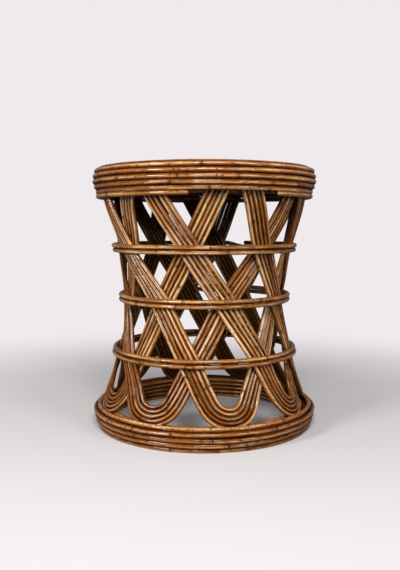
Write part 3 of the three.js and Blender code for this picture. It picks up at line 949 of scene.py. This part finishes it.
def split_batten(node):
    """A batten of split bamboo: flat below and round above, with a raised ring at its joints."""
    low, high = solid_corners(node)
    random = np.random.RandomState(seeds["battens"] + int(node[-1]))
    length, width, thickness = high - low
    stray = random.uniform(-batten_joint_stray, batten_joint_stray, len(batten_joints))
    joints = low[0] + length * batten_joints + stray
    near_joints = (joints[:, None] + np.array([-6, -3, -1.2, 0, 1.2, 3, 6])).ravel()
    at = np.unique(np.append(np.linspace(low[0], high[0], batten_steps), near_joints))
    off_joint = np.min(np.abs(at[:, None] - joints), axis=1)
    swelling = batten_swelling * (np.exp(-(off_joint / batten_swelling_reach) ** 2) - 1)
    raised = 1 + swelling[:, None]
    turn = even_turns(batten_sides)
    across = width / 2 * np.sin(turn)[None] * raised
    up = thickness * np.maximum(np.cos(turn), 0)[None] ** 0.7 * raised
    points = side_by_side(at[:, None], (low[1] + high[1]) / 2 - across, low[2] + up)
    tint, batch = random.uniform(0.3, 0.7), random.uniform(0, 1)
    Strands().add_grid(points, turn, at, off_joint[:, None], tint, batch).piece(
        f"{node}_split", batten_lacquer, "batten", node)


def dress_seat():
    """The woven seat, its bound edge and the battens under it."""
    low, high = solid_corners("seat_panel")
    edge_radius = high[0] - binding_cane / 2 - strip_thickness
    middle = high[2] - strip_rise - strip_thickness / 2
    weave_strips("seat_strips_lengthwise", edge_radius, middle, True, "seat_panel")
    weave_strips("seat_strips_crosswise", edge_radius, middle, False)
    bound_edge(edge_radius, high[2] - binding_cane / 3)
    for i in range(batten_count):
        split_batten(f"seat_batten_{i + 1}")


def nail_places(random, row, diameter, tilt, start, reach, gaps):
    """Places and directions of nails along a row of cane, an uneven gap apart, on the side of
    the cane that faces out and this tilt above level."""
    radius, height = row
    steps = random.uniform(*gaps, int(2 * math.pi * radius / gaps[0]))
    angle = start + np.degrees(np.cumsum(steps) / radius)
    angle = angle[angle < start + reach]
    rise = np.radians(tilt + random.uniform(-nail_stray, nail_stray, len(angle)))
    outward = on_circle(angle, np.cos(rise), np.sin(rise))
    return on_circle(angle, radius, height) + outward * diameter / 2, outward


def nail_heads(name, places, outward):
    """Nail heads as one mesh: each is two rings of points and a top, a low dome that is let into
    the cane by half its height."""
    level = unit(np.cross(outward, (0, 0, 1.0)))
    circle = circle_round(level, np.cross(outward, level), even_turns(nail_sides)) * nail_radius
    dome = outward[:, None] * nail_height
    rings = [places[:, None] + circle * spread + dome * rise
             for spread, rise in ((1, -0.5), (0.8, 0.4))]
    points = np.concatenate([*rings, places[:, None] + dome * 0.7], 1)
    corner = np.arange(nail_sides)
    beside = (corner + 1) % nail_sides
    walls = side_by_side(corner, beside, beside + nail_sides, corner + nail_sides)
    roof = side_by_side(corner + nail_sides, beside + nail_sides, 2 * nail_sides)
    first = np.arange(len(places))[:, None, None] * (2 * nail_sides + 1)
    faces = [*(walls + first).reshape(-1, 4).tolist(), *(roof + first).reshape(-1, 3).tolist(),
             *(corner[::-1] + first[:, 0]).tolist()]
    dress(new_mesh(name, points.reshape(-1, 3), faces), name, nail_steel, None)


def dress_nails():
    """Nails along the rows of both rims and on the hoops, clear of the back of the stool, where
    the rows climb. Each row has its cane, tilt, first angle, reach and gaps."""
    random = np.random.RandomState(seeds["nails"])
    nailed = []
    for name, rows in (("top_outer", top_outer_rows), ("bottom_outer", bottom_outer_rows)):
        section = np.gradient(rows, axis=0)
        tilts = np.degrees(np.arctan2(-section[:, 0], section[:, 1]))
        nailed += [(row, rim_cane, tilt, winding_starts[name], rim_nail_reach, rim_nail_gaps)
                   for row, tilt in zip(rows[1:], tilts[1:])]
    nailed.append((bottom_outer_rows[-1], rim_cane, foot_nail_tilt,
                   winding_starts["bottom_outer"], rim_nail_reach, foot_nail_gaps))
    for name, height in zip(("lower", "middle", "upper"), hoop_heights):
        nailed += [(row, hoop_cane, 0, winding_starts[name], hoop_nail_reach, hoop_nail_gaps)
                   for row in hoop_rows(height)]
    places, outward = zip(*(nail_places(random, *row) for row in nailed))
    nail_heads("nail_heads", np.concatenate(places), np.concatenate(outward))


dress_lattice()
dress_hoops()
dress_rims()
dress_hidden_canes()
dress_seat()
dress_nails()


# Floor, light and camera


wall_colour = (240, 234, 236)
floor_colour = (232, 228, 229)
floor_bounce_colour = (0.10, 0.095, 0.095, 1)  # what the floor throws light up with
floor_radius = 9000.0
floor_fade = (0.25, 1.1)  # from the stool's middle, in metres
light_all_round = 0.24
glossy_surroundings = 0.2

# Soft boxes: name, place in metres, height of the point they aim at, size and power in watts
soft_boxes = (
    ("high_front_box", (0.1, -1.55, 1.5), 0.25, 0.8, 26),
    ("front_left_box", (-1.5, -1.4, 1.0), 0.33, 0.6, 24),
    ("front_right_box", (1.4, -1.5, 0.9), 0.3, 0.6, 11),
)

# Camera, as fitted to the stool's own hoops in the photograph
camera_place = (0.0, -1.197, 0.348)  # in metres
camera_tilt = 5.08  # below level
focal_pixels = 680.0
axis_offset_pixels = 4.3
frame_height_pixels = 570.0
sensor_width = 36.0


def plain_floor():
    """A round floor. The camera sees it pale, gloss dimmer and all other rays dark grey, so that
    it throws little light up into the stool. Away from the stool the camera sees it turn into
    the colour of the surroundings."""
    finish = Nodes(bpy.data.materials.new("pale_floor"))
    path = finish.node("ShaderNodeLightPath", {}).outputs
    seen = finish.maths("MAXIMUM", path["Is Camera Ray"],
                        finish.times(path["Is Glossy Ray"], glossy_surroundings))
    finish.feed(finish.surface, {
        "Base Color": finish.blend(seen, floor_bounce_colour, linear(*floor_colour)),
        "Roughness": 0.85, "Specular IOR Level": 0.2})
    distance = finish.node("ShaderNodeVectorMath", {0: finish.place()}, operation="LENGTH")
    far = finish.times(finish.rise(distance.outputs["Value"], *floor_fade), path["Is Camera Ray"])
    glow = finish.node("ShaderNodeEmission", {"Color": linear(*wall_colour)})
    mixed = finish.node("ShaderNodeMixShader", {0: far, 1: finish.surface.outputs[0],
                                                2: glow.outputs[0]})
    finish.feed(finish.tree.nodes["Material Output"], {"Surface": mixed.outputs[0]})
    points = on_circle(np.arange(0, 360, 3), floor_radius, 0)
    mesh = new_mesh("floor", points, [list(range(len(points)))])
    mesh.materials.append(finish.owner)
    put_in_scene("floor", mesh)


def pale_surroundings():
    """An even dim light from all round, which the camera sees as a pale wall, and gloss a little
    dimmer than it lights."""
    world = Nodes(bpy.data.worlds.new("pale_surroundings"))
    bpy.context.scene.world = world.owner
    world.tree.nodes.clear()
    path = world.node("ShaderNodeLightPath", {}).outputs

    def wall(strength):
        """The wall's colour at this strength."""
        return world.node("ShaderNodeBackground", {
            "Color": linear(*wall_colour), "Strength": strength}).outputs[0]

    shade = wall(light_all_round)
    for ray, strength in (("Is Glossy Ray", glossy_surroundings), ("Is Transmission Ray", 1.0),
                          ("Is Camera Ray", 1.0)):
        shade = world.node("ShaderNodeMixShader", {
            0: path[ray], 1: shade, 2: wall(strength)}).outputs[0]
    world.node("ShaderNodeOutputWorld", {0: shade})


def soft_lamp(name, place, aim_height, size, power):
    """A square soft box, turned about X and then Z so that it faces its point over the middle
    of the floor."""
    data = bpy.data.lights.new(name, "AREA")
    data.shape, data.size, data.energy = "SQUARE", size, power
    lamp = put_in_scene(name, data)
    lamp.location = place
    x, y, z = np.array([0, 0, aim_height]) - place
    lamp.rotation_euler = (math.atan2(math.hypot(x, y), -z), 0.0, math.atan2(-x, y))


def front_camera():
    """The camera, with the lens whose focal length has this many pixels in the frame."""
    data = bpy.data.cameras.new("front_camera")
    data.sensor_width = sensor_width
    data.lens = sensor_width * focal_pixels / frame_height_pixels
    data.shift_x = -axis_offset_pixels / frame_height_pixels
    camera = put_in_scene("front_camera", data)
    camera.location = camera_place
    camera.rotation_euler = (math.radians(90 - camera_tilt), 0.0, 0.0)
    bpy.context.scene.camera = camera


plain_floor()
pale_surroundings()
for box in soft_boxes:
    soft_lamp(*box)
front_camera()
bpy.context.scene.view_settings.view_transform = "Standard"
